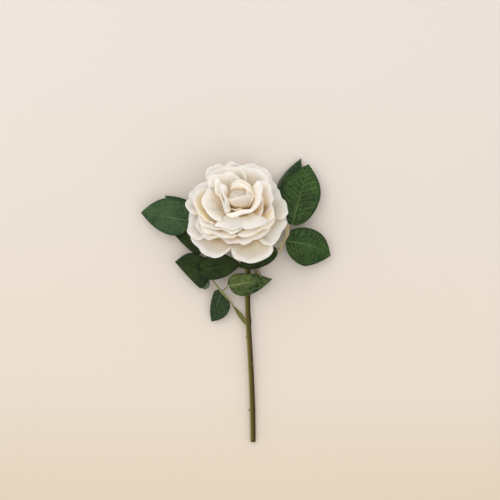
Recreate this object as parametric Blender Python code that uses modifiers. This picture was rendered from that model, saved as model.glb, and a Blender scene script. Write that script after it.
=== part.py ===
"""A cut garden rose with an open bloom, lying on its back petals and the cut end of its stem.

Frame: +Z up, the surface at z = 0, the stem along -Y and the bloom at +Y, facing up.
The tables are in millimetres and degrees; the scene is in metres. A petal is described in the
bloom's own frame, whose axis is the bloom's, with azimuth 0 along +X and 90 towards the top.
"""

import math

import bmesh
import bpy
import numpy as np
from mathutils import Matrix, Vector

MM = 0.001

# Driving dimensions of the whole flower
CALYX_AT = (2.1, 77.2, 27.4)
BLOOM_TILT = 26.0
STEM_RADIUS = 2.55
NECK_RADIUS = 1.95
STALK_RADIUS = 0.85
PETAL_THICKNESS = 0.8
LEAF_THICKNESS = 0.75
GAP = 0.3

# Petals: form, azimuth, rim radius, rim height, half spread, and what differs from its form.
# A form gives where the petal starts, how it leans at its root and at its rim (0 is up the
# axis, 90 outwards), how long the two leans are held, and its crown, ruffle and rolled rim.
# "radii" and "heights" change the rim's radius and height at even steps across the petal.
COMMON = {"hold": (0.45, 0.3), "crown": 0.5, "square": 2.6, "radii": (1.0,), "heights": (0.0,),
          "roll": 0.0, "roll_radius": 2.0, "phase": 0.0}
FORMS = {
    "guard": {"root": (6.0, -1.0), "lean": (85, 112), "ruffle": 0.6, "waves": 5.0},
    "outer": {"root": (6.0, 1.0), "lean": (70, 102), "ruffle": 1.2, "waves": 5.5},
    "lower": {"root": (6.0, 0.0), "lean": (72, 112), "ruffle": 1.2, "waves": 4.0,
              "crown": 0.55, "square": 2.2},
    "middle": {"root": (5.5, 4.0), "lean": (64, 108), "ruffle": 0.8, "waves": 4.5},
    "upright": {"root": (5.5, 5.0), "lean": (62, 72), "ruffle": 1.0, "waves": 4.0},
    "inner": {"root": (5.0, 8.0), "lean": (50, 65), "ruffle": 0.7, "waves": 4.0, "square": 3.2},
    "flared": {"root": (5.0, 7.0), "lean": (20, 108), "hold": (0.7, 0.45), "ruffle": 0.5,
               "waves": 5.0, "square": 3.0, "roll": 90.0, "roll_radius": 1.6},
    "rolled": {"root": (4.5, 8.5), "lean": (48, 55), "ruffle": 0.4, "waves": 3.5, "square": 3.4,
               "hold": (0.5, 0.25), "roll": 150.0},
}
PETALS = [
    ("guard", 126, 48, -9.4, 30, {"phase": 1.0}),
    ("guard", 78, 47, -7.3, 26, {"phase": 2.0}),
    ("lower", -71, 50, 3, 33, {"phase": 0.5}),
    ("lower", 227, 50.5, 4, 31, {"phase": 2.5}),
    ("outer", -23, 44.5, 7, 36, {"phase": 4.0}),
    ("outer", 24, 46.5, 11, 34, {"phase": 1.2}),
    ("outer", 159, 48, 12, 27, {"phase": 0.2, "square": 3.2}),
    ("outer", 197, 47, 8, 28, {"phase": 3.1}),
    ("outer", 108, 50.5, 15, 27, {"phase": 2.2, "lean": (66, 82), "root": (6.0, 2.0),
                                  "square": 3.6}),
    ("outer", 72, 50, 15, 29, {"phase": 5.0, "lean": (66, 82), "root": (6.0, 2.5),
                               "square": 3.2}),
    ("middle", 212, 40, 13, 32, {"phase": 1.0}),
    ("middle", 250, 31, 12, 46, {"phase": 2.0, "root": (5.5, 3.0), "radii": (1.2, 1.0, 1.0)}),
    ("middle", -52, 35, 13, 38, {"phase": 2.8, "root": (5.5, 3.0)}),
    ("middle", 238, 33.5, 18, 46, {"phase": 0.6, "radii": (1.25, 1.0, 0.72), "root": (5.5, 5.0)}),
    ("middle", -45, 33, 19, 50, {"phase": 3.8, "radii": (0.85, 1.0, 1.08), "root": (5.5, 5.0)}),
    ("middle", 218, 34, 22, 36, {"phase": 4.6, "lean": (58, 112), "root": (5.5, 6.0),
                                 "radii": (1.3, 1.0, 0.74)}),
    ("upright", 18, 33, 30, 42, {"phase": 1.6, "lean": (46, 56), "root": (5.5, 6.0)}),
    ("upright", 186, 37.5, 28, 42, {"phase": 1.0, "lean": (48, 62), "root": (5.5, 6.0),
                                    "radii": (1.22, 1.0, 0.88)}),
    ("upright", 112, 38, 28, 36, {"phase": 3.6, "root": (5.5, 6.0), "square": 3.6}),
    ("upright", 70, 42, 24, 34, {"phase": 3.6, "root": (5.5, 6.0), "lean": (62, 66)}),
    ("middle", 240, 29, 24, 46, {"phase": 2.0, "lean": (50, 105), "root": (5.5, 6.0),
                                 "radii": (1.2, 1.0, 0.9)}),
    ("flared", -83, 26.5, 28.5, 50, {"phase": 0.4, "square": 5.0, "crown": 0.3,
                                     "radii": (1.24, 0.97, 0.87, 1.05, 1.21),
                                     "heights": (3.0, 0.0, 0.0, 0.0, 1.0)}),
    ("inner", -24, 33.5, 30, 24, {"phase": 2.2, "lean": (28, 35), "root": (5.0, 7.0)}),
    ("inner", 190, 30, 36.5, 46, {"phase": 0.5, "lean": (42, 55),
                                  "radii": (1.25, 1.03, 1.0, 1.0, 1.03)}),
    ("inner", 117, 30.5, 36, 36, {"phase": 1.5, "lean": (50, 58), "radii": (0.8, 1.0, 1.25)}),
    ("inner", 151, 24, 40, 20, {"phase": 1.5, "lean": (45, 50), "root": (4.5, 9.0),
                                "radii": (1.35, 1.0, 0.75), "square": 4.0, "crown": 0.35}),
    ("rolled", -38, 18, 41.5, 84, {"phase": 0.8, "root": (4.0, 10.0), "lean": (42, 45),
                                   "square": 5.0, "crown": 0.3,
                                   "radii": (1.12, 0.84, 0.94, 1.06, 1.24)}),
    ("inner", 200, 13.5, 41, 44, {"phase": 2.5, "lean": (30, 35), "root": (3.5, 11.0),
                                  "square": 5.0, "crown": 0.3, "radii": (1.4, 1.08, 1.0, 1.15, 1.7)}),
    ("inner", 75, 16.5, 41, 50, {"phase": 0.8, "lean": (40, 40), "root": (3.5, 11.0)}),
    ("rolled", 191, 9.8, 42.5, 54, {"phase": 2.8, "lean": (25, 30), "root": (3.2, 11.5),
                                    "roll_radius": 1.1, "square": 5.0, "crown": 0.3,
                                    "radii": (2.0, 1.35, 1.0, 1.15, 1.9)}),
    ("inner", 5, 14, 41.5, 50, {"phase": 0.3, "lean": (35, 20), "root": (3.0, 12.0), "square": 4.0}),
    ("inner", -94, 12.6, 40.0, 26, {"phase": 1.8, "lean": (38, 10), "root": (3.0, 12.0), "crown": 0.3,
                                    "ruffle": 0.2}),
    ("inner", 68, 12, 43.5, 56, {"phase": 4.3, "lean": (30, 20), "root": (2.8, 12.0), "square": 3.8}),
]
PETAL_COLUMNS = 5
PETAL_ROWS = 5
ROLLED_ROWS = 7
# The share of its spread that a petal has at its root
ROOT_SPREAD = 0.75
CURVE_STEPS = 12

# The core that the petals grow from: radius and height, from the top down
CORE = [(0.0, 36.0), (2.6, 35.0), (4.6, 32.0), (5.8, 27.0), (6.6, 22.0), (7.0, 14.0), (8.0, 8.0),
        (8.4, 3.0), (7.4, -1.0), (5.6, -3.0), (0.0, -3.0)]
# The closed bud in the middle: its place, its half sizes across, and its profile as the share
# of those half sizes and the height from its widest, from the top down
BUD_AT = (2.6, 1.6, 38.2)
BUD_SIZE = (11.4, 8.7)
BUD = [(0.0, 6.3), (0.5, 5.4), (0.8, 3.6), (0.96, 1.4), (1.0, -1.0), (0.92, -7.0), (0.75, -14.0),
       (0.5, -16.0), (0.0, -16.4)]
# The hip under the petals, and the sepals' routes and widths, in the bloom's frame
HIP = [(0.0, -3.4), (5.4, -3.5), (6.4, -5.0), (6.2, -8.0), (4.6, -11.0), (2.9, -13.2), (0.0, -14.2)]
PLAIN_SEPALS = (37.0, 109.0, 181.0, 253.0)
SEPAL_ROUTE = [(4.6, -5.0), (13.0, -5.6), (22.0, -7.6), (29.0, -11.0)]
SEPAL_WIDTH = 7.0
SHOWN_SEPAL = [(4.6, -0.4, -5.0), (26.0, 1.5, -5.6), (43.0, -3.5, -5.0), (45.6, -13.0, -5.0),
               (41.0, -23.0, -6.0), (35.5, -29.5, -8.0)]
SHOWN_SEPAL_WIDTH = 5.5
SPUR = [(42.5, -19.5, -5.6), (40.5, -26.5, -7.0), (39.0, -32.0, -9.5)]
SPUR_WIDTH = 2.2

# The stem's middle line, from the cut end to the neck
STEM_ROUTE = [(16.1, -134.2, 2.45), (15.9, -115.0, 3.25), (15.4, -94.5, 4.1), (14.4, -70.0, 5.0),
              (13.2, -47.0, 5.8), (11.7, -22.0, 6.8), (10.9, 4.0, 7.7), (11.3, 29.0, 8.4),
              (8.8, 47.0, 8.4), (5.2, 60.0, 8.6), (3.0, 67.0, 10.4)]
# Swellings: where along Y and how much; and where along Y the stem thins to its neck
STEM_NODES = [(-19.5, 0.5), (6.0, 0.35), (46.0, 0.35), (-103.6, 0.15)]
NODE_LENGTH = 3.0
NECK_STRETCH = (35.0, 66.0)
# Prickles: where along Y, which way round from +X, and length
PRICKLES = [(-103.6, 165.0, 2.2), (-60.0, 40.0, 2.0), (-34.0, 150.0, 1.8)]
PRICKLE_RADIUS = 1.3
PRICKLE_TIP_RADIUS = 0.2
PRICKLE_HOOK = 0.25

# Leaf stalks: the main run, then its side runs, each to just short of a leaflet
STALKS = {
    "rachis_left": [
        [(4.8, 49.3, 8.3), (-8.0, 54.5, 10.0), (-22.0, 61.5, 12.2), (-34.0, 69.0, 14.2), (-41.2, 74.2, 14.9)],
        [(-16.0, 58.3, 11.3), (-22.0, 55.7, 10.3), (-26.0, 52.2, 9.4)],
        [(-25.0, 63.3, 12.7), (-30.0, 68.0, 11.2), (-33.3, 72.2, 9.8)],
    ],
    "rachis_lower": [
        [(7.6, -18.0, 7.2), (-0.8, -8.2, 8.8), (-4.9, -1.5, 9.6), (-13.4, 7.9, 10.7), (-20.5, 17.2, 11.1),
         (-24.0, 21.4, 11.2)],
        [(-13.4, 7.9, 10.7), (-10.3, 10.9, 11.5), (-7.2, 13.5, 12.2)],
        [(-13.4, 7.9, 10.7), (-13.9, 7.7, 9.8), (-14.0, 7.1, 9.1)],
        [(-22.4, 19.6, 11.2), (-23.6, 23.4, 12.9), (-26.4, 27.0, 13.6), (-28.2, 28.8, 13.8)],
    ],
    "rachis_right": [
        [(14.9, 10.2, 8.0), (20.0, 15.2, 8.2), (22.5, 22.2, 8.6), (20.9, 29.6, 9.0), (25.0, 38.0, 9.4),
         (34.0, 45.2, 10.0), (41.0, 50.5, 10.8), (46.5, 58.0, 11.6), (50.2, 65.6, 12.4), (52.4, 70.1, 13.0)],
        [(41.0, 50.5, 10.8), (41.6, 49.4, 12.2), (39.9, 48.3, 12.9)],
        [(43.0, 53.4, 11.1), (44.6, 55.2, 12.5), (45.7, 55.7, 13.4)],
        [(48.4, 61.6, 12.0), (48.6, 67.0, 10.8), (48.3, 73.0, 9.2)],
    ],
}

# Leaflets: base, tip, sideways bow of the midrib (to the right of its run), rise of its middle,
# roll about the midrib and how far the halves fold up; then the left and the right half: width,
# the share of the length where it is widest, how full it stays towards the tip, and how far its
# base lobe reaches back
LEAFLETS = {
    "leaflet_left_tip": ((-42.0, 74.7, 15.0), (-89.3, 82.8, 10.0), 0.0, 1.5, 4.0, 0.08,
                         (16.4, 0.31, 2.0, 0.0), (18.8, 0.35, 2.2, 0.0)),
    "leaflet_left_upper": ((-33.8, 72.9, 9.4), (-66.9, 98.8, 7.0), 0.0, 1.0, 0.0, 0.06,
                           (10.3, 0.43, 2.2, 0.0), (9.9, 0.43, 1.8, 0.0)),
    "leaflet_left_lower": ((-27.2, 51.3, 9.0), (-60.2, 64.5, 7.5), 0.0, 1.0, 0.0, 0.06,
                           (11.3, 0.20, 1.35, 0.0), (9.5, 0.40, 2.0, 0.0)),
    "leaflet_lower_tip": ((-24.4, 22.2, 11.4), (-57.2, 36.2, 10.5), 0.0, 0.6, 0.0, 0.04,
                          (13.6, 0.12, 1.15, 0.0), (15.2, 0.47, 3.0, 0.0)),
    "leaflet_lower_upper": ((-28.9, 29.2, 15.2), (4.8, 33.9, 12.4), 0.0, 0.8, 0.0, 0.04,
                            (13.2, 0.36, 2.0, 6.0), (10.8, 0.30, 1.9, 6.0)),
    "leaflet_lower_cross": ((-6.2, 14.0, 12.7), (34.0, 20.2, 12.4), 0.0, 0.8, 0.0, 0.08,
                            (10.2, 0.24, 1.7, 1.5), (11.8, 0.34, 1.8, 0.0)),
    "leaflet_lower_hanging": ((-14.0, 6.4, 7.7), (-23.2, -20.0, 4.4), 0.0, 1.0, -2.0, 0.10,
                              (12.3, 0.39, 2.6, 0.0), (6.9, 0.15, 2.0, 3.3)),
    "leaflet_right_inner": ((38.9, 47.8, 12.9), (2.0, 31.6, 14.1), 0.0, 0.6, 0.0, 0.06,
                            (9.3, 0.42, 2.4, 0.0), (9.3, 0.42, 2.0, 0.0)),
    "leaflet_right_side": ((47.2, 56.0, 14.2), (89.3, 42.2, 9.0), -3.0, 2.0, 0.0, 0.08,
                           (15.4, 0.42, 2.2, 2.6), (20.2, 0.47, 2.2, 0.0)),
    "leaflet_right_tip": ((52.8, 71.0, 13.4), (68.5, 128.2, 8.5), 0.0, 1.5, 0.0, 0.06,
                          (18.8, 0.50, 2.1, 0.0), (18.8, 0.50, 2.1, 0.0)),
    "leaflet_right_upper": ((48.2, 73.9, 8.9), (61.6, 134.0, 4.0), 0.0, 1.0, 0.0, 0.06,
                            (16.9, 0.46, 1.8, 0.0), (9.5, 0.46, 1.05, 0.0)),
}
LEAF_ROWS = 16
LEAF_COLUMNS = 4
LEAST_HALF_WIDTH = 0.45
TOOTH_DEPTH = 0.055
# How the halves of a blade arch as they fold up, and how much of its rows' spacing is even
BLADE_ARCH = (1.2, 0.6)
EVEN_SHARE = 0.6

PETAL_COLOUR = (0.84, 0.78, 0.68, 1.0)
LEAF_COLOUR = (0.035, 0.075, 0.022, 1.0)
STALK_COLOUR = (0.17, 0.15, 0.06, 1.0)
CALYX_COLOUR = (0.26, 0.24, 0.13, 1.0)


def clear_scene():
    for item in list(bpy.data.objects):
        bpy.data.objects.remove(item)


def new_collection(name):
    made = bpy.data.collections.new(name)
    bpy.context.scene.collection.children.link(made)
    return made


def new_material(name, colour, roughness):
    made = bpy.data.materials.new(name)
    made.use_nodes = True
    shader = made.node_tree.nodes["Principled BSDF"]
    shader.inputs["Base Color"].default_value = colour
    shader.inputs["Roughness"].default_value = roughness
    return made


def smooth_step(low, high, value):
    t = np.clip((value - low) / (high - low), 0.0, 1.0)
    return t * t * (3.0 - 2.0 * t)


def smooth_run(points, steps):
    """Points along a smooth curve through the given ones, steps to each stretch."""
    p = [Vector(point) for point in points]
    p = [2 * p[0] - p[1]] + p + [2 * p[-1] - p[-2]]
    run = []
    for k in range(1, len(p) - 2):
        for step in range(steps):
            t = step / steps
            run.append(0.5 * (2 * p[k] + (p[k + 1] - p[k - 1]) * t
                              + (2 * p[k - 1] - 5 * p[k] + 4 * p[k + 1] - p[k + 2]) * t ** 2
                              + (3 * p[k] - p[k - 1] - 3 * p[k + 1] + p[k + 2]) * t ** 3))
    return run + [p[-2]]


def sheet(name, columns, rows, place, thickness, collection):
    """A thin solid: a grid whose points place(u, v) sets in mm, thickened about its middle."""
    grid = bmesh.new()
    bmesh.ops.create_grid(grid, x_segments=columns, y_segments=rows, size=1.0)
    bmesh.ops.triangulate(grid, faces=grid.faces)
    u = np.array([corner.co.x for corner in grid.verts])
    v = np.array([corner.co.y for corner in grid.verts]) * 0.5 + 0.5
    for corner, point in zip(grid.verts, place(u, v) * MM):
        corner.co = point
    mesh = bpy.data.meshes.new(name)
    grid.to_mesh(mesh)
    grid.free()
    made = bpy.data.objects.new(name, mesh)
    collection.objects.link(made)
    shell = made.modifiers.new("Thickness", "SOLIDIFY")
    shell.thickness = thickness * MM
    shell.offset = 0.0
    return made


def lathe(name, profile, steps, collection):
    """A turned solid from a profile of radius and height in mm, from its top to its bottom."""
    mesh = bpy.data.meshes.new(name)
    mesh.from_pydata([(r * MM, 0.0, z * MM) for r, z in profile],
                     [(k, k + 1) for k in range(len(profile) - 1)], [])
    made = bpy.data.objects.new(name, mesh)
    collection.objects.link(made)
    turn = made.modifiers.new("Turn", "SCREW")
    turn.steps = steps
    turn.render_steps = steps
    turn.use_merge_vertices = True
    turn.merge_threshold = 0.00001
    return made


def tube(name, points, radii, sides_setting, collection):
    """A round tube through points in mm, as a mesh with welded caps."""
    data = bpy.data.curves.new(name, "CURVE")
    data.dimensions = "3D"
    data.bevel_depth = MM
    data.bevel_resolution = sides_setting
    data.use_fill_caps = True
    line = data.splines.new("POLY")
    line.points.add(len(points) - 1)
    for target, point, radius in zip(line.points, points, radii):
        target.co = (*(Vector(point) * MM), 1.0)
        target.radius = radius
    guide = bpy.data.objects.new(name + "_line", data)
    collection.objects.link(guide)
    graph = bpy.context.evaluated_depsgraph_get()
    mesh = bpy.data.meshes.new_from_object(guide.evaluated_get(graph))
    welded = bmesh.new()
    welded.from_mesh(mesh)
    bmesh.ops.remove_doubles(welded, verts=welded.verts, dist=0.00001)
    welded.to_mesh(mesh)
    welded.free()
    made = bpy.data.objects.new(name, mesh)
    made.matrix_world = guide.matrix_world
    collection.objects.link(made)
    bpy.data.objects.remove(guide)
    return made


def keep_outer_body(mesh):
    """Deletes every island but the largest, which fills sealed hollows and drops scraps."""
    whole = bmesh.new()
    whole.from_mesh(mesh)
    unseen = set(whole.verts)
    islands = []
    while unseen:
        island = set()
        edge_of = [unseen.pop()]
        while edge_of:
            corner = edge_of.pop()
            island.add(corner)
            for edge in corner.link_edges:
                other = edge.other_vert(corner)
                if other in unseen:
                    unseen.remove(other)
                    edge_of.append(other)
        islands.append(island)
    islands.sort(key=len, reverse=True)
    for island in islands[1:]:
        bmesh.ops.delete(whole, geom=list(island), context="VERTS")
    whole.to_mesh(mesh)
    whole.free()


def fuse(body, pieces, solver):
    """Unites a collection of pieces with a body, then removes the collection."""
    union = body.modifiers.new("Fuse", "BOOLEAN")
    union.operation = "UNION"
    union.operand_type = "COLLECTION"
    union.collection = pieces
    union.solver = solver
    graph = bpy.context.evaluated_depsgraph_get()
    fused = bpy.data.meshes.new_from_object(body.evaluated_get(graph))
    keep_outer_body(fused)
    body.modifiers.clear()
    body.data = fused
    for piece in list(pieces.objects):
        bpy.data.objects.remove(piece)
    bpy.data.collections.remove(pieces)
    return body


def finish(item, material):
    item.data.materials.clear()
    item.data.materials.append(material)
    item.data.shade_smooth()
    item.data.set_sharp_from_angle(angle=math.radians(50.0))


def stand_in_bloom_frame(item):
    item.location = Vector(CALYX_AT) * MM
    item.rotation_euler = (math.radians(-BLOOM_TILT), 0.0, 0.0)


def petal_profile(s, form, rim):
    """Radius, height and the two outward parts of the normal, along a petal's length s."""
    r0, z0 = form["root"]
    r3, z3 = rim
    chord = math.hypot(r3 - r0, z3 - z0)
    start, end = (math.radians(angle) for angle in form["lean"])
    r1, z1 = r0 + math.sin(start) * chord * form["hold"][0], z0 + math.cos(start) * chord * form["hold"][0]
    r2, z2 = r3 - math.sin(end) * chord * form["hold"][1], z3 - math.cos(end) * chord * form["hold"][1]
    turn = math.radians(form["roll"])
    roll_share = turn * form["roll_radius"] / (turn * form["roll_radius"] + chord)
    t = np.clip(s / (1.0 - roll_share), 0.0, 1.0)
    r = (1 - t) ** 3 * r0 + 3 * t * (1 - t) ** 2 * r1 + 3 * t * t * (1 - t) * r2 + t ** 3 * r3
    z = (1 - t) ** 3 * z0 + 3 * t * (1 - t) ** 2 * z1 + 3 * t * t * (1 - t) * z2 + t ** 3 * z3
    run_r = (1 - t) ** 2 * (r1 - r0) + 2 * t * (1 - t) * (r2 - r1) + t * t * (r3 - r2)
    run_z = (1 - t) ** 2 * (z1 - z0) + 2 * t * (1 - t) * (z2 - z1) + t * t * (z3 - z2)
    length = np.hypot(run_r, run_z)
    lean = np.arctan2(run_r / length, run_z / length)
    if roll_share > 0.0:
        rolled = np.clip((s - (1.0 - roll_share)) / roll_share, 0.0, 1.0) * turn
        r = r + form["roll_radius"] * (math.cos(end) - np.cos(end + rolled))
        z = z + form["roll_radius"] * (np.sin(end + rolled) - math.sin(end))
        lean = np.where(rolled > 0.0, end + rolled, lean)
    return r, z, np.cos(lean), -np.sin(lean)


def drift(points):
    """A gentle push of the whole bloom, which keeps neighbours apart but makes none alike."""
    x, y, z = points[:, 0], points[:, 1], points[:, 2]
    share = smooth_step(4.0, 22.0, np.hypot(x, y))
    push_x = 1.3 * np.sin(0.17 * y + 0.11 * z + 1.0) + 0.55 * np.sin(0.43 * z - 0.31 * y + 2.0)
    push_y = 1.3 * np.sin(0.15 * x - 0.12 * z + 0.4) + 0.55 * np.sin(0.41 * x + 0.37 * z + 4.0)
    push_z = 1.5 * np.sin(0.16 * x + 0.13 * y + 2.2) + 0.6 * np.sin(0.40 * y - 0.36 * x + 0.7)
    return points + np.stack([push_x, push_y, push_z], axis=-1) * share[:, None]


def even_curve(values, u):
    """A smooth curve through values spaced evenly from u = -1 to u = 1."""
    if len(values) == 1:
        return values[0] + 0.0 * u
    places = np.linspace(-1.0, 1.0, len(values))
    run = smooth_run([(place, value, 0.0) for place, value in zip(places, values)], CURVE_STEPS)
    return np.interp(u, [point.x for point in run], [point.y for point in run])


def petal_place(azimuth, rim, spread, form):
    """place(u, v) of one petal: u runs across it from -1 to 1, v from its root to its rim."""
    def place(across, v):
        u = np.sin(across * math.pi / 2)
        crown = (1.0 - np.abs(u) ** form["square"]) ** (1.0 / form["square"])
        s = v * (1.0 - form["crown"] * (1.0 - crown))
        r, z, out_r, out_z = petal_profile(s, form, rim)
        wave = np.sin(form["waves"] * u + form["phase"])
        wave = wave + 0.5 * np.sin(2.3 * form["waves"] * u + 2.0 * form["phase"])
        push = form["ruffle"] * s ** 3 * wave
        r = (r + out_r * push) * (1.0 + (even_curve(form["radii"], u) - 1.0) * s)
        z = z + out_z * push + even_curve(form["heights"], u) * s
        opened = ROOT_SPREAD + (1.0 - ROOT_SPREAD) * smooth_step(0.0, 0.5, s)
        angle = np.radians(azimuth + spread * u * opened)
        return drift(np.stack([r * np.cos(angle), r * np.sin(angle), z], axis=-1))
    return place


def blade_place(route, outline, roll, fold):
    """place(u, v) of a leaf or sepal: v along a smooth middle line, u across it."""
    line = np.array([tuple(point) for point in smooth_run(route, CURVE_STEPS)])
    steps = np.linalg.norm(np.diff(line, axis=0), axis=1)
    reach = np.concatenate([[0.0], np.cumsum(steps)])
    reach = reach / reach[-1]
    runs = np.gradient(line, axis=0)

    def place(u, v):
        width, back, v = outline(u, v)
        middle = np.stack([np.interp(v, reach, line[:, k]) for k in range(3)], axis=-1)
        run = np.stack([np.interp(v, reach, runs[:, k]) for k in range(3)], axis=-1)
        run = run / np.linalg.norm(run, axis=1)[:, None]
        side = np.cross(run, (0.0, 0.0, 1.0))
        side = side / np.linalg.norm(side, axis=1)[:, None]
        up = np.cross(side, run)
        turn = math.radians(roll)
        side, up = side * math.cos(turn) + up * math.sin(turn), up * math.cos(turn) - side * math.sin(turn)
        arch = BLADE_ARCH[0] - BLADE_ARCH[1] * np.abs(u)
        raised = fold * width * np.abs(u) * arch
        return middle + side * (u * width)[:, None] + up * raised[:, None] - run * back[:, None]
    return place


def half_width(t, half):
    """A leaflet's half width in mm at the shares t of its length: round base, pointed tip."""
    width, widest, fullness, lobe = half
    base = np.sqrt(np.clip(1.0 - (1.0 - t / widest) ** 2, 0.0, 1.0))
    tip = 1.0 - np.clip((t - widest) / (1.0 - widest), 0.0, 1.0) ** fullness
    return width * np.where(t < widest, base, tip)


def leaf_outline(left, right):
    """A toothed leaflet: half width, how far its base lobes reach back, and place along it."""
    def outline(u, v):
        rows = np.round(v * LEAF_ROWS).astype(int)
        t = EVEN_SHARE * v + (1.0 - EVEN_SHARE) * 0.5 * (1.0 - np.cos(np.pi * v))
        body = np.where(u < 0.0, half_width(t, left), half_width(t, right))
        tooth = np.where(rows % 2 == 0, -0.5, 0.5) * TOOTH_DEPTH * np.sin(np.pi * t) ** 0.5
        width = np.maximum(body * (1.0 + tooth * (np.abs(u) > 0.99)), LEAST_HALF_WIDTH)
        lobe = np.where(u < 0.0, left[3], right[3]) * np.abs(u) ** 1.5
        return width, lobe * (1.0 - smooth_step(0.0, 0.5, t)), t
    return outline


def sepal_outline(width):
    def outline(u, v):
        half = np.maximum(0.5 * width * np.sin(np.pi * (0.18 + 0.8 * v)) ** 0.8, LEAST_HALF_WIDTH)
        return half, 0.0 * v, v
    return outline


def build_bloom(parts, material):
    pieces = new_collection("Petals")
    for number, (kind, azimuth, radius, height, spread, changes) in enumerate(PETALS):
        form = {**COMMON, **FORMS[kind], **changes}
        rows = ROLLED_ROWS if form["roll"] else PETAL_ROWS
        place = petal_place(azimuth, (radius, height), spread, form)
        sheet(f"petal_{number}", PETAL_COLUMNS, rows, place, PETAL_THICKNESS, pieces)
    bud = lathe("bud", BUD, 12, pieces)
    bud.location = Vector(BUD_AT) * MM
    bud.scale = (BUD_SIZE[0], BUD_SIZE[1], 1.0)
    bloom = fuse(lathe("bloom", CORE, 16, parts), pieces, "MANIFOLD")
    stand_in_bloom_frame(bloom)
    finish(bloom, material)


def build_calyx(parts, material):
    pieces = new_collection("Sepals")
    for number, azimuth in enumerate(PLAIN_SEPALS):
        way = math.radians(azimuth)
        route = [(r * math.cos(way), r * math.sin(way), z) for r, z in SEPAL_ROUTE]
        place = blade_place(route, sepal_outline(SEPAL_WIDTH), 0.0, 0.2)
        sheet(f"sepal_{number}", 2, 8, place, LEAF_THICKNESS, pieces)
    shown = blade_place(SHOWN_SEPAL, sepal_outline(SHOWN_SEPAL_WIDTH), 0.0, 0.15)
    sheet("sepal_shown", 2, 14, shown, LEAF_THICKNESS, pieces)
    spur = blade_place(SPUR, sepal_outline(SPUR_WIDTH), 0.0, 0.1)
    sheet("sepal_spur", 2, 5, spur, LEAF_THICKNESS, pieces)
    calyx = fuse(lathe("calyx", HIP, 16, parts), pieces, "EXACT")
    stand_in_bloom_frame(calyx)
    finish(calyx, material)


def neck_end():
    """Where the stem meets the hip, in mm."""
    frame = Matrix.Translation(CALYX_AT) @ Matrix.Rotation(math.radians(-BLOOM_TILT), 4, "X")
    hip_bottom = HIP[-1][1] - GAP
    return frame @ Vector((0.0, 0.0, hip_bottom))


def stem_radius(point):
    neck = smooth_step(*NECK_STRETCH, point.y)
    radius = STEM_RADIUS + (NECK_RADIUS - STEM_RADIUS) * float(neck)
    for place, swell in STEM_NODES:
        radius += swell * math.exp(-((point.y - place) / NODE_LENGTH) ** 2)
    return radius


def prickle(name, along, way, length, run, collection):
    """A flattened hooked cone, its root inside the stem."""
    middle = min(run, key=lambda point: abs(point.y - along))
    angle = math.radians(way)
    out = Vector((math.cos(angle), 0.0, math.sin(angle)))
    cone = bmesh.new()
    bmesh.ops.create_cone(cone, cap_ends=True, segments=8, radius1=PRICKLE_RADIUS * MM,
                          radius2=PRICKLE_TIP_RADIUS * MM, depth=(length + STEM_RADIUS) * MM)
    mesh = bpy.data.meshes.new(name)
    cone.to_mesh(mesh)
    cone.free()
    made = bpy.data.objects.new(name, mesh)
    made.location = (middle + out * 0.5 * (length + STEM_RADIUS)) * MM
    made.rotation_euler = (out + Vector((0.0, -PRICKLE_HOOK, 0.0))).to_track_quat("Z", "Y").to_euler()
    collection.objects.link(made)


def build_stem(parts, material):
    run = smooth_run(STEM_ROUTE + [tuple(neck_end())], 4)
    stem = tube("stem", run, [stem_radius(point) for point in run], 3, parts)
    pieces = new_collection("Prickles")
    for number, (along, way, length) in enumerate(PRICKLES):
        prickle(f"prickle_{number}", along, way, length, run, pieces)
    fuse(stem, pieces, "EXACT")
    finish(stem, material)


def build_stalk(name, runs, parts, material):
    main = smooth_run(runs[0], 3)
    radii = [STALK_RADIUS * (1.5 - 0.6 * min(1.0, 2.0 * k / len(main))) for k in range(len(main))]
    stalk = tube(name, main, radii, 2, parts)
    pieces = new_collection(name + "_sides")
    for number, side in enumerate(runs[1:]):
        run = smooth_run(side, 2)
        tube(f"{name}_side_{number}", run, [STALK_RADIUS * 0.8] * len(run), 2, pieces)
    fuse(stalk, pieces, "EXACT")
    finish(stalk, material)


def build_leaflet(name, facts, parts, material):
    base, tip, bow, rise, roll, fold, left, right = facts
    start, end = Vector(base), Vector(tip)
    side = (end - start).cross(Vector((0.0, 0.0, 1.0))).normalized()
    middle = (start + end) / 2 + side * bow + Vector((0.0, 0.0, rise))
    place = blade_place([start, middle, end], leaf_outline(left, right), roll, fold)
    leaflet = sheet(name, LEAF_COLUMNS, LEAF_ROWS, place, LEAF_THICKNESS, parts)
    finish(leaflet, material)


def main():
    clear_scene()
    parts = new_collection("Rose")
    petal = new_material("Petal", PETAL_COLOUR, 0.6)
    leaf = new_material("Leaf", LEAF_COLOUR, 0.45)
    stalk = new_material("Stalk", STALK_COLOUR, 0.5)
    calyx = new_material("Calyx", CALYX_COLOUR, 0.6)
    build_bloom(parts, petal)
    build_calyx(parts, calyx)
    build_stem(parts, stalk)
    for name, runs in STALKS.items():
        build_stalk(name, runs, parts, stalk)
    for name, facts in LEAFLETS.items():
        build_leaflet(name, facts, parts, leaf)


main()
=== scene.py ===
"""The looks of a cut cream rose that lies on a pale surface, seen from straight above.

Tables are in millimetres and degrees and start from the construction's own, with finer rims,
teeth and veins; the scene is in metres. A petal is described in the bloom's frame: its axis is
the bloom's, azimuth 0 lies along +X and 90 towards the top of the picture.
"""

import math

import bpy
import numpy as np
from mathutils import Matrix, Vector


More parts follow.
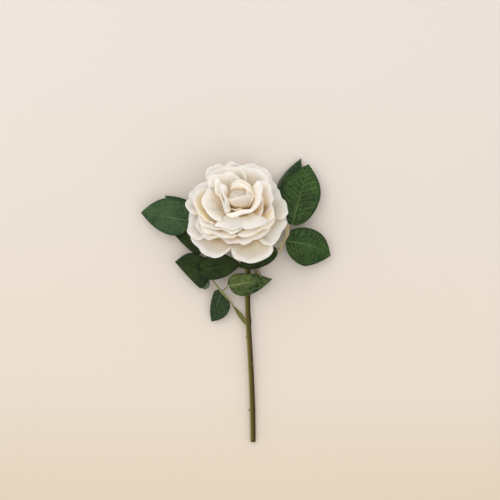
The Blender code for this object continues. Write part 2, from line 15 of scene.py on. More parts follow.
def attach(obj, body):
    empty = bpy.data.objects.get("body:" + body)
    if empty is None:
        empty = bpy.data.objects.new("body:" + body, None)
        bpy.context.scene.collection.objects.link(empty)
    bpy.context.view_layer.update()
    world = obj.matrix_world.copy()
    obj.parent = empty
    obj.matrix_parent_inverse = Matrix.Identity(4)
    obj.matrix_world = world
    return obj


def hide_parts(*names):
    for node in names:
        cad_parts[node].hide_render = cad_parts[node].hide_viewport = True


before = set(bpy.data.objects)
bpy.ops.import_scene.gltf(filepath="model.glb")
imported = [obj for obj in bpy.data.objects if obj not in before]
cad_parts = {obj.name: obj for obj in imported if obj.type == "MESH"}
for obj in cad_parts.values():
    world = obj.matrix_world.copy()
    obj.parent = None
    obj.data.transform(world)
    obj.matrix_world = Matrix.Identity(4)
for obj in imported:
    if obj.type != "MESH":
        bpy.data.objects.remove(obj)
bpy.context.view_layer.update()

MM = 0.001

# The whole flower, as built
CALYX_AT = (2.1, 77.2, 27.4)
BLOOM_TILT = 26.0
STEM_RADIUS = 2.55
NECK_RADIUS = 1.95
STALK_RADIUS = 0.85

# How thick the sheets are, and how finely sheets and round bodies are divided
PETAL_THICKNESS = 0.36
LEAF_THICKNESS = 0.4
SEPAL_THICKNESS = 0.4
PETAL_COLUMNS = 44
PETAL_ROWS = 40
LEAF_COLUMNS = 50
LEAF_ROWS = 150
SEPAL_COLUMNS = 12
SEPAL_ROWS = 40
CORE_SIDES = 48
HIP_SIDES = 40
STEM_SIDES = 28
PITH_SIDES = 24
STALK_SIDES = 16
SIDE_STALK_SIDES = 14
PRICKLE_SIDES = 14
PRICKLE_RINGS = 14

# What all petals start from. Form: how long the leans at root and rim are held, how far the rim
# rounds off at its sides and how squarely, the rim's radius (as a multiple) and its lift at even
# steps from the lower azimuth to the higher, and how far the rim rolls out, round which radius.
# Unevenness: where its waves start, the rim's fine frill and the long pleats. Colour: how fast the
# gold deepens from the rim (partly the petal's own yellow base, partly painted shade in the gaps),
# how much faster towards the higher azimuth, the painted shade inside the rim, and blush.
COMMON = {"hold": (0.45, 0.3), "crown": 0.5, "square": 2.6, "radii": (1.0,), "heights": (0.0,),
          "roll": 38.0, "roll_radius": 1.3, "phase": 0.0, "frill": 0.3, "pleat": 0.22,
          "gold_and_shade_rate": 1.0, "gold_and_shade_side": 0.0, "painted_shade": 0.0, "blush": 0.0}
# What each form adds: the root's radius and height, the leans at root and rim (0 is up the axis,
# 90 outwards), the ruffles' height and their radians over a half spread, and what differs
FORMS = {
    "guard": {"root": (6.0, -1.0), "lean": (85, 112), "ruffle": 0.6, "waves": 5.0, "pleat": 0.0,
              "roll": 10.0},
    "outer": {"root": (6.0, 1.0), "lean": (70, 102), "ruffle": 1.2, "waves": 5.5, "pleat": 0.3,
              "painted_shade": 0.7, "blush": 0.25},
    "lower": {"root": (6.0, 0.0), "lean": (72, 112), "ruffle": 1.2, "waves": 4.0, "pleat": 0.45,
              "crown": 0.55, "square": 2.2, "roll": 30.0, "gold_and_shade_rate": 1.6, "painted_shade": 1.6, "blush": 0.7},
    "middle": {"root": (5.5, 4.0), "lean": (64, 108), "ruffle": 0.8, "waves": 4.5, "roll": 45.0},
    "upright": {"root": (5.5, 5.0), "lean": (62, 72), "ruffle": 1.0, "waves": 4.0, "pleat": 0.3,
                "gold_and_shade_rate": 1.3, "painted_shade": 0.9},
    "inner": {"root": (5.0, 8.0), "lean": (50, 65), "ruffle": 0.7, "waves": 4.0, "frill": 0.15,
              "square": 3.2},
    "flared": {"root": (5.0, 7.0), "lean": (20, 108), "ruffle": 0.5, "waves": 5.0,
               "square": 3.0, "hold": (0.7, 0.45), "roll": 90.0, "roll_radius": 1.6},
    "rolled": {"root": (4.5, 8.5), "lean": (48, 55), "ruffle": 0.4, "waves": 3.5, "frill": 0.12,
               "square": 3.4, "hold": (0.5, 0.25), "roll": 150.0, "roll_radius": 2.0},
}
# The petals, roughly from the outside in: form, azimuth, rim radius, rim height, half spread, changes
PETALS = [
    ("guard", 126, 48, -7.9, 30, {"phase": 1.0}),
    ("guard", 78, 47, -6.4, 26, {"phase": 2.0}),
    ("lower", -71, 50, 3, 33, {"phase": 0.5, "radii": (0.9, 1.0, 1.0)}),
    ("lower", 227, 50.5, 4, 31, {"phase": 2.5}),
    ("outer", -23, 44.5, 7, 36, {"phase": 4.0}),
    ("outer", 24, 45.8, 11, 34, {"phase": 1.2, "square": 3.4, "crown": 0.42}),
    ("outer", 159, 48, 12, 27, {"phase": 0.2, "square": 3.2}),
    ("outer", 197, 47, 8, 28, {"phase": 3.1}),
    ("outer", 108, 50.5, 15, 27, {"phase": 2.2, "root": (6.0, 2.0), "lean": (66, 82), "roll": 70,
                                  "square": 3.6}),
    ("outer", 72, 50, 15, 29, {"phase": 5.0, "root": (6.0, 2.5), "lean": (66, 82), "square": 3.2}),
    ("middle", 212, 40, 13, 32, {"phase": 1.0, "gold_and_shade_rate": 2.6, "painted_shade": 0.8}),
    ("middle", 250, 31, 12, 46, {"phase": 2.0, "root": (5.5, 3.0), "radii": (1.2, 1.0, 1.0)}),
    ("middle", -52, 35, 13, 38, {"phase": 2.8, "root": (5.5, 3.0)}),
    ("middle", 238, 33.5, 18, 46, {"phase": 0.6, "root": (5.5, 5.0), "radii": (1.25, 1.0, 0.72)}),
    ("middle", -45, 33, 19, 50, {"phase": 3.8, "root": (5.5, 5.0), "radii": (0.85, 1.0, 1.08)}),
    ("middle", 218, 34, 22, 36, {"phase": 4.6, "root": (5.5, 6.0), "radii": (1.3, 1.0, 0.74),
                                 "lean": (58, 112), "gold_and_shade_rate": 2.8, "painted_shade": 0.6}),
    ("upright", 18, 33, 30, 42, {"phase": 1.6, "root": (5.5, 6.0), "lean": (46, 56), "gold_and_shade_rate": 3.2}),
    ("upright", 186, 37.5, 28, 42, {"phase": 1.0, "root": (5.5, 6.0), "radii": (1.22, 1.0, 0.88),
                                    "lean": (48, 62), "gold_and_shade_rate": 9.0, "gold_and_shade_side": 0.7, "painted_shade": 1.0}),
    ("upright", 112, 38, 28, 36, {"phase": 3.6, "root": (5.5, 6.0), "roll": 80, "roll_radius": 1.8,
                                  "square": 3.6}),
    ("upright", 70, 42, 24, 34, {"phase": 3.6, "root": (5.5, 6.0), "lean": (62, 66)}),
    ("middle", 240, 29, 24, 46, {"phase": 2.0, "root": (5.5, 6.0), "radii": (1.2, 1.0, 0.9),
                                 "lean": (50, 105), "gold_and_shade_rate": 1.6}),
    ("flared", -83, 26.5, 28.5, 50, {"phase": 0.4, "radii": (1.24, 0.97, 0.87, 1.05, 1.21), "square": 5.0,
                                     "heights": (3.0, 0.0, 0.0, 0.0, 1.0), "crown": 0.3, "gold_and_shade_rate": 0.1}),
    ("inner", -24, 33.5, 30, 24, {"phase": 2.2, "root": (5.0, 7.0), "lean": (28, 35), "gold_and_shade_rate": 4.0}),
    ("inner", -10, 24, 32, 34, {"phase": 1.2, "lean": (40, 45), "gold_and_shade_rate": 2.5, "ruffle": 0.4}),
    ("inner", 190, 30, 36.5, 46, {"phase": 0.5, "radii": (1.25, 1.03, 1.0, 1.0, 1.03), "lean": (42, 55),
                                  "gold_and_shade_rate": 0.1, "pleat": 0.45}),
    ("inner", 117, 30.5, 36, 36, {"phase": 1.5, "radii": (0.8, 1.0, 1.25), "lean": (50, 58),
                                  "gold_and_shade_rate": 0.8, "painted_shade": 0.6}),
    ("inner", 151, 24, 40, 20, {"phase": 1.5, "root": (4.5, 9.0), "lean": (45, 50), "crown": 0.35,
                                "radii": (1.35, 1.0, 0.75), "square": 4.0, "gold_and_shade_rate": 0.6}),
    ("rolled", -38, 18, 41.5, 84, {"phase": 0.8, "root": (4.0, 10.0), "lean": (42, 45), "crown": 0.3,
                                   "radii": (1.12, 0.84, 0.94, 1.06, 1.24), "square": 5.0, "gold_and_shade_rate": 0.8}),
    ("inner", 200, 13.5, 41, 44, {"phase": 2.5, "root": (3.5, 11.0), "lean": (30, 35), "crown": 0.3,
                                  "radii": (1.4, 1.08, 1.0, 1.15, 1.7), "square": 5.0, "gold_and_shade_rate": 0.5}),
    ("inner", 75, 16.5, 41, 50, {"phase": 0.8, "root": (3.5, 11.0), "lean": (40, 40), "gold_and_shade_rate": 0.7}),
    ("rolled", 191, 9.8, 42.5, 54, {"phase": 2.8, "root": (3.2, 11.5), "lean": (25, 30), "crown": 0.3,
                                    "radii": (2.0, 1.35, 1.0, 1.15, 1.9), "square": 5.0, "gold_and_shade_rate": 0.6,
                                    "roll_radius": 1.1}),
    ("inner", 5, 14, 41.5, 50, {"phase": 0.3, "root": (3.0, 12.0), "lean": (35, 20), "square": 4.0,
                                "gold_and_shade_rate": 0.7}),
    ("inner", -94, 12.6, 40.0, 26, {"phase": 1.8, "root": (3.0, 12.0), "lean": (38, 10), "crown": 0.3,
                                    "frill": 0.0, "ruffle": 0.2, "gold_and_shade_rate": 0.2}),
    ("inner", 68, 12, 43.5, 56, {"phase": 4.3, "root": (2.8, 12.0), "lean": (30, 20), "square": 3.8,
                                 "gold_and_shade_rate": 0.6}),
]
# Radians over a half spread of the frill's two waves and of the pleats
FRILL_WAVES = (17.0, 29.0)
PLEAT_WAVES = 13.0
# The drift that makes no two petals alike: along x, y and z two waves each, given by height, by
# radians for each mm of x, y and z, and by start; it grows from the first radius to the second
DRIFT = (
    ((1.3, 0.0, 0.17, 0.11, 1.0), (0.55, 0.0, -0.31, 0.43, 2.0)),
    ((1.3, 0.15, 0.0, -0.12, 0.4), (0.55, 0.41, 0.0, 0.37, 4.0)),
    ((1.5, 0.16, 0.13, 0.0, 2.2), (0.6, -0.36, 0.40, 0.0, 0.7)),
)
DRIFT_RADII = (4.0, 22.0)

# The bud: its middle, its half sizes and its straight sides, which count as so many degrees of turn
BUD_AT = (2.4, 0.9, 38.2)
BUD_SIZE = (12.0, 10.2, 4.8)
BUD_STEM = 14.0
BUD_BELOW = 65.0
# A bud petal: how far it goes over the top, how far round the sides, its rim, slope and colour
CAP = {"over": 100.0, "side": 80.0, "square": 2.4, "crown": 0.3, "ruffle": 0.25, "waves": 4.0, "phase": 0.0,
       "slope": 0.0, "gold_and_shade_rate": 2.0, "gold_and_shade_side": 0.0, "painted_shade": 0.0, "blush": 1.0}
# The bud's petals, from the inside out: azimuth, size, lift of the rim, changes
BUD_PETALS = [
    (85, 0.80, -0.4, {"over": 110.0}),
    (200, 0.87, 0.3, {"over": 74.0, "phase": 1.0, "slope": 0.3, "waves": 5.0}),
    (20, 0.94, 0.9, {"over": 58.0, "phase": 2.0, "slope": -0.3, "side": 70.0, "waves": 5.0}),
    (-88, 1.0, 1.6, {"over": 78.0, "phase": 4.0, "side": 84.0, "slope": 0.16, "waves": 3.0, "crown": 0.45}),
]
# The turned core that closes the bloom inside: radius and height
CORE = [(0.0, 36.0), (2.6, 35.0), (4.6, 32.0), (5.8, 27.0), (6.6, 22.0), (7.0, 14.0), (8.0, 8.0),
        (8.4, 3.0), (7.4, -1.0), (5.6, -3.0), (0.0, -3.0)]
# Over which distance from the rim the petals' gold deepens (own yellow base and painted shade in the
# gaps), how much deeper the bud counts and how near its rim that is reached, how deep the core counts,
# between which distances the painted shade inside the rim grows, and how far round itself a place
# looks for what closes it in, which gets a gold painted shade
GOLD_AND_SHADE_DEPTH = 40.0
BUD_DEPTH = 11.0
BUD_RIM = 1.5
CORE_DEPTH = 30.0
PAINTED_SHADE_REACH = (1.0, 10.0)
HOLLOW_SHADE_REACH = 14.0
# Fine lines in a petal's surface, across and along it
PETAL_LINES = (20.0, 3.0)

# The hip, as radius and height in the bloom's frame
HIP = [(0.0, -3.4), (5.4, -3.5), (6.4, -5.0), (6.2, -8.0), (4.6, -11.0), (2.9, -13.2), (0.0, -14.2)]
# The sepals in that frame: route, width and how far the halves bend up. The plain ones stand at
# four azimuths, with a route of radius and height; the fifth shows past the bloom and has a spur.
PLAIN_AZIMUTHS = (37.0, 109.0, 181.0, 253.0)
PLAIN_SEPAL = ([(4.6, -5.0), (13.0, -5.6), (22.0, -7.6), (29.0, -11.0)], 7.0, 0.2)
SHOWN_SEPALS = {
    "sepal_5": ([(4.6, -0.4, -5.0), (26.0, 1.5, -5.6), (43.0, -3.5, -5.0), (45.6, -13.0, -5.0),
                 (41.0, -23.0, -6.0), (35.5, -29.5, -8.0)], 5.5, 0.15),
    "sepal_5_spur": ([(42.5, -19.5, -5.6), (40.5, -26.5, -7.0), (39.0, -32.0, -9.5)], 2.2, 0.1),
}
# A sepal's narrowest half width, and its crinkles' height and radians along it
SEPAL_TIP = 0.3
SEPAL_CRINKLE = 0.15
SEPAL_CRINKLES = 22.0

# The stem's middle line, from the cut end towards the neck
STEM_ROUTE = [(16.1, -134.2, 2.45), (15.9, -115.0, 3.25), (15.4, -94.5, 4.1), (14.4, -70.0, 5.0),
              (13.2, -47.0, 5.8), (11.7, -22.0, 6.8), (10.9, 4.0, 7.7), (11.3, 29.0, 8.4),
              (8.8, 47.0, 8.4), (5.2, 60.0, 8.6), (3.0, 67.0, 10.4)]
# Between which places along Y it thins to the neck, and how deep the neck goes into the hip
NECK_SPAN = (35.0, 66.0)
NECK_INTO_HIP = 0.4
# Its nodes: place along Y and swelling, and how long each is
STEM_NODES = [(-19.5, 0.5), (6.0, 0.35), (46.0, 0.35), (-103.6, 0.15)]
NODE_LENGTH = 2.6
# Its prickles: place along Y, way round the stem (0 is +X, 90 up) and length; then how thick they
# are at root and tip, how deep in the stem they start, and how far they hook down
PRICKLES = [(-103.6, 165.0, 2.2), (-60.0, 40.0, 2.0), (-34.0, 150.0, 1.8)]
PRICKLE_RADIUS = 1.3
PRICKLE_TIP = 0.06
PRICKLE_ROOT = 0.6
PRICKLE_HOOK = 0.9
# The pith on the cut end: its share of the stem's radius, its run into the stem, and how far it stands out
PITH_SHARE = 0.62
PITH_RUN = (0.0, 0.6, 0.02)
PITH_PROUD = 0.05

# Leaf stalks: the main run, then its side stalks
STALKS = {
    "rachis_left": [
        [(4.8, 49.3, 8.3), (-8.0, 54.5, 10.0), (-22.0, 61.5, 12.2), (-34.0, 69.0, 14.2),
         (-41.2, 74.2, 14.9)],
        [(-16.0, 58.3, 11.3), (-22.0, 55.7, 10.3), (-26.0, 52.2, 9.4)],
        [(-25.0, 63.3, 12.7), (-30.0, 68.0, 11.2), (-33.3, 72.2, 9.8)],
    ],
    "rachis_lower": [
        [(7.6, -18.0, 7.2), (-0.8, -8.2, 8.8), (-4.9, -1.5, 9.6), (-13.4, 7.9, 10.7), (-20.5, 17.2, 11.1),
         (-24.0, 21.4, 11.2)],
        [(-13.4, 7.9, 10.7), (-10.3, 10.9, 11.5), (-7.2, 13.5, 12.2)],
        [(-13.4, 7.9, 10.7), (-13.9, 7.7, 9.8), (-14.0, 7.1, 9.1)],
        [(-22.4, 19.6, 11.2), (-23.6, 23.4, 12.9), (-26.4, 27.0, 13.6), (-28.2, 28.8, 13.8)],
    ],
    "rachis_right": [
        [(14.9, 10.2, 8.0), (20.0, 15.2, 8.2), (22.5, 22.2, 8.6), (20.9, 29.6, 9.0), (25.0, 38.0, 9.4),
         (34.0, 45.2, 10.0), (41.0, 50.5, 10.8), (46.5, 58.0, 11.6), (50.2, 65.6, 12.4),
         (52.4, 70.1, 13.0)],
        [(41.0, 50.5, 10.8), (41.6, 49.4, 12.2), (39.9, 48.3, 12.9)],
        [(43.0, 53.4, 11.1), (44.6, 55.2, 12.5), (45.7, 55.7, 13.4)],
        [(48.4, 61.6, 12.0), (48.6, 67.0, 10.8), (48.3, 73.0, 9.2)],
    ],
}
# How stout each main run is at even steps along it, and a side stalk, as multiples of the stalk radius
STALK_STOUTNESS = {
    "rachis_left": (1.5, 1.2, 0.9, 0.9, 0.9),
    "rachis_lower": (1.2, 1.2, 0.8, 0.75, 1.3, 0.9, 0.8, 0.8),
    "rachis_right": (1.5, 1.6, 2.1, 2.0, 1.5, 1.1, 1.0, 0.9, 0.9, 0.9),
}
SIDE_STOUTNESS = 0.75
# Stipules: their stalk, route, width and how far their halves bend up
STIPULES = {
    "stipule_lower": ("rachis_lower", [(9.6, -22.0, 8.0), (6.0, -16.4, 9.0), (2.4, -11.6, 9.8),
                                       (-1.8, -5.6, 10.2)], 4.4, -0.2),
    "stipule_right": ("rachis_right", [(21.0, 21.5, 10.0), (19.0, 25.0, 10.4), (17.6, 30.0, 10.6)],
                      3.2, -0.1),
}

# Leaflets: base, tip, sideways bow of the midrib (to the right of its run), rise of its middle,
# roll about the midrib and how far the halves fold up; then the left and the right half: width,
# the share of the length where it is widest, how full it stays towards the tip, and how far its
# base lobe reaches back
LEAFLETS = {
    "leaflet_left_tip": ((-42.0, 74.7, 15.0), (-89.3, 82.8, 10.0), 0.0, 1.5, 4.0, 0.08,
                         (16.4, 0.31, 2.0, 0.0), (18.8, 0.35, 2.2, 0.0)),
    "leaflet_left_upper": ((-33.8, 72.9, 9.4), (-66.9, 98.8, 7.0), 0.0, 1.0, 0.0, 0.06,
                           (10.3, 0.43, 2.2, 0.0), (9.9, 0.43, 1.8, 0.0)),
    "leaflet_left_lower": ((-27.2, 51.3, 9.0), (-60.2, 64.5, 7.5), 0.0, 1.0, 0.0, 0.06,
                           (11.3, 0.20, 1.35, 0.0), (9.5, 0.40, 2.0, 0.0)),
    "leaflet_lower_tip": ((-24.4, 22.2, 11.4), (-57.2, 36.2, 10.5), 0.0, 0.6, 0.0, 0.04,
                          (13.6, 0.12, 1.15, 0.0), (15.2, 0.47, 3.0, 0.0)),
    "leaflet_lower_upper": ((-28.9, 29.2, 15.2), (4.8, 33.9, 12.4), 0.0, 0.8, 0.0, 0.04,
                            (13.2, 0.36, 2.0, 6.0), (10.8, 0.30, 1.9, 6.0)),
    "leaflet_lower_cross": ((-6.2, 14.0, 12.7), (34.0, 20.2, 12.4), 0.0, 0.8, 0.0, 0.08,
                            (10.2, 0.24, 1.7, 1.5), (11.8, 0.34, 1.8, 0.0)),
    "leaflet_lower_hanging": ((-14.0, 6.4, 7.7), (-23.2, -20.0, 4.4), 0.0, 1.0, -2.0, 0.10,
                              (12.3, 0.39, 2.6, 0.0), (6.9, 0.15, 2.0, 3.3)),
    "leaflet_right_inner": ((38.9, 47.8, 12.9), (2.0, 31.6, 14.1), 0.0, 0.6, 0.0, 0.06,
                            (9.3, 0.42, 2.4, 0.0), (9.3, 0.42, 2.0, 0.0)),
    "leaflet_right_side": ((47.2, 56.0, 14.2), (89.3, 42.2, 9.0), -3.0, 2.0, 0.0, 0.08,
                           (15.4, 0.42, 2.2, 2.6), (20.2, 0.47, 2.2, 0.0)),
    "leaflet_right_tip": ((52.8, 71.0, 13.4), (68.5, 128.2, 8.5), 0.0, 1.5, 0.0, 0.06,
                          (18.8, 0.50, 2.1, 0.0), (18.8, 0.50, 2.1, 0.0)),
    "leaflet_right_upper": ((48.2, 73.9, 8.9), (61.6, 134.0, 4.0), 0.0, 1.0, 0.0, 0.06,
                            (16.9, 0.46, 1.8, 0.0), (9.5, 0.46, 1.05, 0.0)),
}
# The grey lobe that turns over under the lower tip leaflet, given like a leaflet
TURNED_LOBE = ((-29.0, 25.5, 9.6), (-28.9, 10.2, 9.8), 0.0, 0.4, 0.0, 0.1,
               (4.4, 0.6, 3.2, 0.0), (4.2, 0.66, 3.6, 0.0))
# A leaflet's surface: number and size of its teeth, number of its side veins, height of the puffed
# fields, how pale the side veins are, and its edge waves' radians, height and start
LEAF_STYLE = {"teeth": 26.0, "tooth": 0.6, "veins": 10.0, "relief": 0.09, "veining": 0.35,
              "waves": 9.0, "wave": 0.35, "phase": 0.0}
LEAF_CHANGES = {
    "leaflet_left_tip": {"phase": 0.4, "veining": 0.15},
    "leaflet_left_upper": {"phase": 1.4, "veining": 0.15},
    "leaflet_left_lower": {"phase": 2.4, "veining": 0.15},
    "leaflet_lower_tip": {"phase": 3.4, "veining": 0.15},
    "leaflet_lower_upper": {"phase": 4.4, "veining": 0.15},
    "leaflet_lower_cross": {"phase": 5.4, "veining": 0.2, "veins": 8.0},
    "leaflet_lower_hanging": {"phase": 0.9, "veining": 0.2, "veins": 7.0},
    "leaflet_right_inner": {"phase": 1.9, "veining": 0.2},
    "leaflet_right_side": {"phase": 2.9},
    "leaflet_right_tip": {"phase": 3.9, "veining": 0.5, "veins": 12.0},
    "leaflet_right_upper": {"phase": 4.9},
}
LOBE_STYLE = {**LEAF_STYLE, "tooth": 0.1, "veining": 0.1, "relief": 0.05}
# A tooth's rising share, and where on the half width, as a share, the teeth start
TOOTH_RISE = 0.75
TOOTHED_FROM = 0.80
# Half widths of the midrib and of a side vein, the midrib's depth, the side veins' depth as a share
# of the relief, how far from the midrib the fields are fully puffed, and a blade's least half width
MIDRIB_WIDTH = 0.55
VEIN_WIDTH = 0.32
MIDRIB_DEPTH = 0.3
VEIN_DEPTH = 0.8
PUFF_REACH = 3.5
LEAST_HALF_WIDTH = 0.25

# Skin colours, dark and light. A leaf's third is its vein, and a fourth a grey strip along its left margin.
STALK_TONES = {
    "rachis_left": ((0.13, 0.13, 0.05), (0.22, 0.22, 0.10)),
    "rachis_lower": ((0.15, 0.14, 0.045), (0.25, 0.235, 0.085)),
    "rachis_right": ((0.16, 0.13, 0.075), (0.36, 0.28, 0.20)),
}
CALYX_TONE = ((0.20, 0.17, 0.09), (0.42, 0.36, 0.21))
PITH_TONE = ((0.45, 0.45, 0.28), (0.55, 0.53, 0.36))
PRICKLE_TONE = ((0.13, 0.09, 0.04), (0.20, 0.14, 0.07))
STIPULE_TONE = ((0.085, 0.080, 0.018), (0.155, 0.150, 0.042))
UNDERSIDE_TONE = ((0.07, 0.10, 0.055), (0.10, 0.14, 0.08), (0.14, 0.18, 0.10))
LEAF_TONES = {
    "left": ((0.018, 0.048, 0.016), (0.049, 0.095, 0.036), (0.086, 0.144, 0.058)),
    "dark": ((0.006, 0.016, 0.001), (0.018, 0.035, 0.003), (0.044, 0.070, 0.020)),
    "cross": ((0.010, 0.030, 0.004), (0.070, 0.098, 0.018), (0.240, 0.290, 0.120)),
    "hanging": ((0.008, 0.023, 0.005), (0.022, 0.048, 0.015), (0.080, 0.115, 0.052)),
    "right": ((0.008, 0.027, 0.003), (0.026, 0.062, 0.010), (0.105, 0.170, 0.060)),
    "grey_edged": ((0.008, 0.031, 0.005), (0.025, 0.065, 0.014), (0.09, 0.13, 0.07), (0.080, 0.090, 0.070)),
}
TONE_OF = {
    "leaflet_left_tip": "left", "leaflet_left_upper": "left", "leaflet_left_lower": "dark",
    "leaflet_lower_tip": "dark", "leaflet_lower_upper": "dark", "leaflet_lower_cross": "cross",
    "leaflet_lower_hanging": "hanging", "leaflet_right_inner": "dark", "leaflet_right_side": "right",
    "leaflet_right_tip": "right", "leaflet_right_upper": "grey_edged",
}

# The camera, straight above the middle of the picture
VIEW_CENTRE = (13.3, 47.5)
CAMERA_HEIGHT = 1200.0
VIEW_WIDTH = 475.0
SENSOR_WIDTH = 36.0

# The room, in metres and watts: the floor, what the lights aim at, their places, sizes, powers
# and colours, and the light from all round
FLOOR_SIZE = 6.0
LIGHTS_AIM = (0.0, 0.05, 0.03)
LIGHTS = {
    "key": ((-0.55, 0.65, 1.35), 1.5, 8.6, (1.0, 0.99, 0.98)),
    "fill": ((0.7, -0.5, 1.6), 1.6, 5.8, (1.0, 0.985, 0.97)),
}
SKY_COLOUR = (1.0, 0.985, 0.96, 1.0)
SKY_STRENGTH = 0.93


def smooth_step(low, high, value):
    t = np.clip((value - low) / (high - low), 0.0, 1.0)
    return t * t * (3.0 - 2.0 * t)


def smooth_run(points, steps):
    """Points along a smooth curve through the given ones, steps to each stretch."""
    p = np.array([tuple(point) for point in points], float)
    p = np.vstack([2 * p[0] - p[1], p, 2 * p[-1] - p[-2]])
    t = (np.arange(steps) / steps)[:, None]
    run = []
    for k in range(1, len(p) - 2):
        run.append(0.5 * (2 * p[k] + (p[k + 1] - p[k - 1]) * t
                          + (2 * p[k - 1] - 5 * p[k] + 4 * p[k + 1] - p[k + 2]) * t ** 2
                          + (3 * p[k] - p[k - 1] - 3 * p[k + 1] + p[k + 2]) * t ** 3))
    return np.vstack(run + [p[-2:-1]])


def bend(t, start, first, second, end):
    """One coordinate of a cubic curve at the shares t, from its ends and its two guide points."""
    return ((1 - t) ** 3 * start + 3 * t * (1 - t) ** 2 * first
            + 3 * t * t * (1 - t) * second + t ** 3 * end)


def bend_run(t, start, first, second, end):
    """One coordinate of that curve's direction, a third as long."""
    return (1 - t) ** 2 * (first - start) + 2 * t * (1 - t) * (second - first) + t * t * (end - second)


def even_curve(values, u):
    """A smooth curve through values spaced evenly from u = -1 to u = 1."""
    if len(values) == 1:
        return values[0] + 0.0 * u
    places = np.linspace(-1.0, 1.0, len(values))
    run = smooth_run([(place, value, 0.0) for place, value in zip(places, values)], 12)
    return np.interp(u, run[:, 0], run[:, 1])


def grid_mesh(name, points, facts, closed_round=False):
    """A mesh from a grid of points in mm, rows by columns, with named values at each point."""
    rows, columns = points.shape[:2]
    mesh = bpy.data.meshes.new(name)
    faces = []
    for row in range(rows - 1):
        for column in range(columns if closed_round else columns - 1):
            a = row * columns + column
            b = row * columns + (column + 1) % columns
            faces.append((a, b, b + columns, a + columns))
    if closed_round:
        faces.append(tuple(range(columns - 1, -1, -1)))
        faces.append(tuple(range((rows - 1) * columns, rows * columns)))
    mesh.from_pydata((points.reshape(-1, 3) * MM).tolist(), [], faces)
    for fact, values in facts.items():
        layer = mesh.attributes.new(fact, "FLOAT", "POINT")
        layer.data.foreach_set("value", np.ascontiguousarray(values.reshape(-1), np.float32))
    return mesh


def add_piece(mesh, material, node, place=None, thickness=None, under=None):
    """A piece named like its mesh, which rides on the flower's one body and stands for a node.

    A sheet gets its thickness here, and its lower face a material of its own if under is given.
    """
    mesh.materials.append(material)
    mesh.shade_smooth()
    piece = bpy.data.objects.new(mesh.name, mesh)
    bpy.context.scene.collection.objects.link(piece)
    if place is not None:
        piece.matrix_world = place
    if under is not None:
        mesh.materials.append(under)
    if thickness is not None:
        shell = piece.modifiers.new("Thickness", "SOLIDIFY")
        shell.thickness = thickness * MM
        shell.offset = 0.0
        shell.material_offset = 0 if under is None else 1
        shell.material_offset_rim = 0
    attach(piece, "root")
    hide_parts(node)


def bloom_frame(unit=MM):
    """The bloom's frame: it stands on the calyx and leans towards the top of the picture."""
    return (Matrix.Translation(Vector(CALYX_AT) * unit)
            @ Matrix.Rotation(math.radians(-BLOOM_TILT), 4, "X"))


def petal_profile(s, form, rim):
    """Radius, height and the two outward parts of the normal, along a petal's length s."""
    r0, z0 = form["root"]
    r3, z3 = rim
    chord = math.hypot(r3 - r0, z3 - z0)
    start, end = (math.radians(angle) for angle in form["lean"])
    r1 = r0 + math.sin(start) * chord * form["hold"][0]
    z1 = z0 + math.cos(start) * chord * form["hold"][0]
    r2 = r3 - math.sin(end) * chord * form["hold"][1]
    z2 = z3 - math.cos(end) * chord * form["hold"][1]
    turn = math.radians(form["roll"])
    roll_share = turn * form["roll_radius"] / (turn * form["roll_radius"] + chord)
    t = np.clip(s / (1.0 - roll_share), 0.0, 1.0)
    rolled = np.clip((s - (1.0 - roll_share)) / roll_share, 0.0, 1.0) * turn
    r = bend(t, r0, r1, r2, r3) + form["roll_radius"] * (math.cos(end) - np.cos(end + rolled))
    z = bend(t, z0, z1, z2, z3) + form["roll_radius"] * (np.sin(end + rolled) - math.sin(end))
    lean = np.arctan2(bend_run(t, r0, r1, r2, r3), bend_run(t, z0, z1, z2, z3))
    lean = np.where(rolled > 0.0, end + rolled, lean)
    return r, z, np.cos(lean), -np.sin(lean)


def drift(x, y, z):
    """A gentle push of the whole bloom, which keeps neighbours apart but makes none alike."""
    share = smooth_step(*DRIFT_RADII, np.hypot(x, y))
    moved = []
    for place, waves in zip((x, y, z), DRIFT):
        first, second = (height * np.sin(by_x * x + by_y * y + by_z * z + start)
                         for height, by_x, by_y, by_z, start in waves)
        moved.append(place + (first + second) * share)
    return np.stack(moved, axis=-1)


def rim_reach(u, form):
    """A petal's length across its spread, as a share of its middle's: the crown rounds off its sides."""
    crown = (1.0 - np.abs(u) ** form["square"]) ** (1.0 / form["square"])
    return 1.0 - form["crown"] * (1.0 - crown)


def petal_points(azimuth, rim, spread, form):
    """Rows of points from a petal's root to its rim, with each point's place on the petal."""
    u = np.sin(np.linspace(-1.0, 1.0, PETAL_COLUMNS + 1) * math.pi / 2)[None, :]
    v = np.linspace(0.0, 1.0, PETAL_ROWS + 1)[:, None]
    s = v * rim_reach(u, form)
    r, z, out_r, out_z = petal_profile(s, form, rim)
    waves, phase = form["waves"], form["phase"]
    ruffle = np.sin(waves * u + phase) + 0.5 * np.sin(2.3 * waves * u + 2.0 * phase)
    frill = np.sin(FRILL_WAVES[0] * u + 5.0 * phase) + 0.7 * np.sin(FRILL_WAVES[1] * u - 3.0 * phase)
    pleats = np.sin(PLEAT_WAVES * u + 2.0 * phase) * np.sin(math.pi * np.clip(s, 0.0, 1.0)) ** 0.7
    push = form["ruffle"] * s ** 3 * ruffle + form["frill"] * v ** 8 * frill + form["pleat"] * pleats
    r = (r + out_r * push) * (1.0 + (even_curve(form["radii"], u) - 1.0) * s)
    z = z + out_z * push + even_curve(form["heights"], u) * s
    angle = np.radians(azimuth + spread * u * (0.75 + 0.25 * smooth_step(0.0, 0.5, s)))
    return drift(r * np.cos(angle), r * np.sin(angle), z), u + 0.0 * v, s


